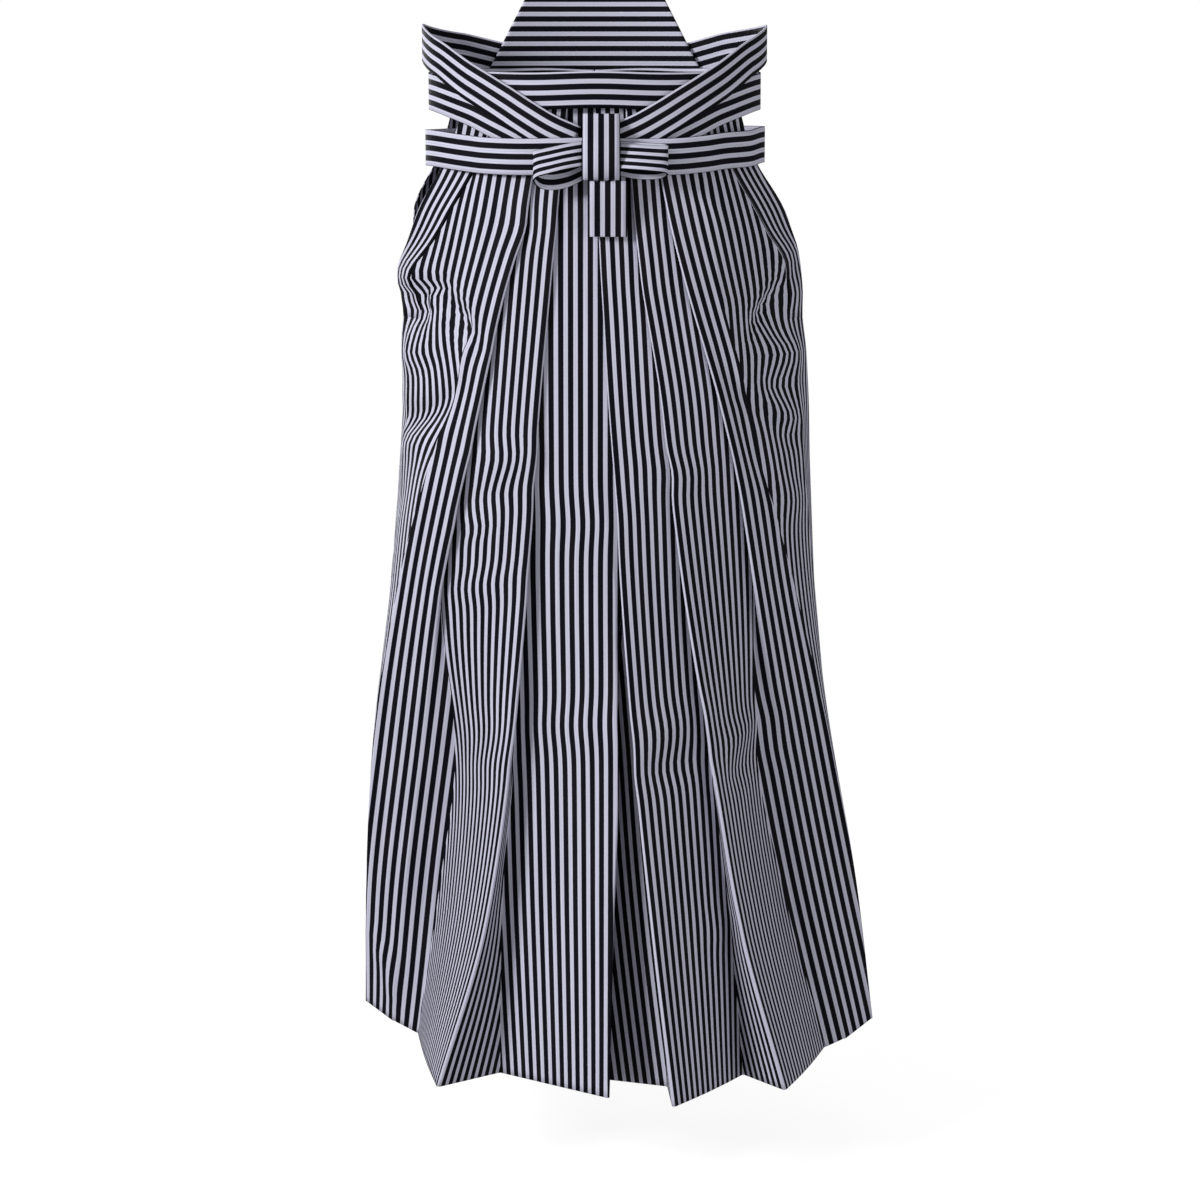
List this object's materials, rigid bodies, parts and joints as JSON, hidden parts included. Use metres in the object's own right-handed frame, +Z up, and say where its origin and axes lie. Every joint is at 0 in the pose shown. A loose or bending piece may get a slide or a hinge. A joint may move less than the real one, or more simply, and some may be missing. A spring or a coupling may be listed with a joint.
{
  "type": "hakama trousers, worn form",
  "caption": "Divided hakama trousers in striped cloth, in worn form, with pressed front pleats, a stiff back board and waist ties in a bow.",
  "frame": {"origin": "middle of the waist, at the height of the middle of the belt that goes round it", "axes": "+Z up, the front looks towards -Y, +X to the viewer's right"},
  "size_m": [0.5024, 0.4127, 1.0127],
  "materials": {
    "striped_cloth": "matte woven cloth with a faint sheen, dark and pale lengthwise stripes",
    "tie_cloth": "the same cloth folded flat, its stripes along the tie",
    "board_cloth": "the same cloth stretched over a stiff board"
  },
  "bodies": {
    "root": {"front_left": "striped_cloth", "front_right": "striped_cloth", "back_left": "striped_cloth", "back_right": "striped_cloth", "gusset_left": "striped_cloth", "gusset_right": "striped_cloth", "side_strip_left": "striped_cloth", "side_strip_right": "striped_cloth", "back_board": "board_cloth", "front_band": "tie_cloth", "front_tie_belt": "tie_cloth", "front_tie_left": "tie_cloth", "front_tie_right": "tie_cloth", "back_tie_left": "tie_cloth", "back_tie_right": "tie_cloth", "bow_loop_left": "tie_cloth", "bow_loop_right": "tie_cloth", "bow_knot": "tie_cloth", "bow_end": "tie_cloth"}
  },
  "joints": []
}
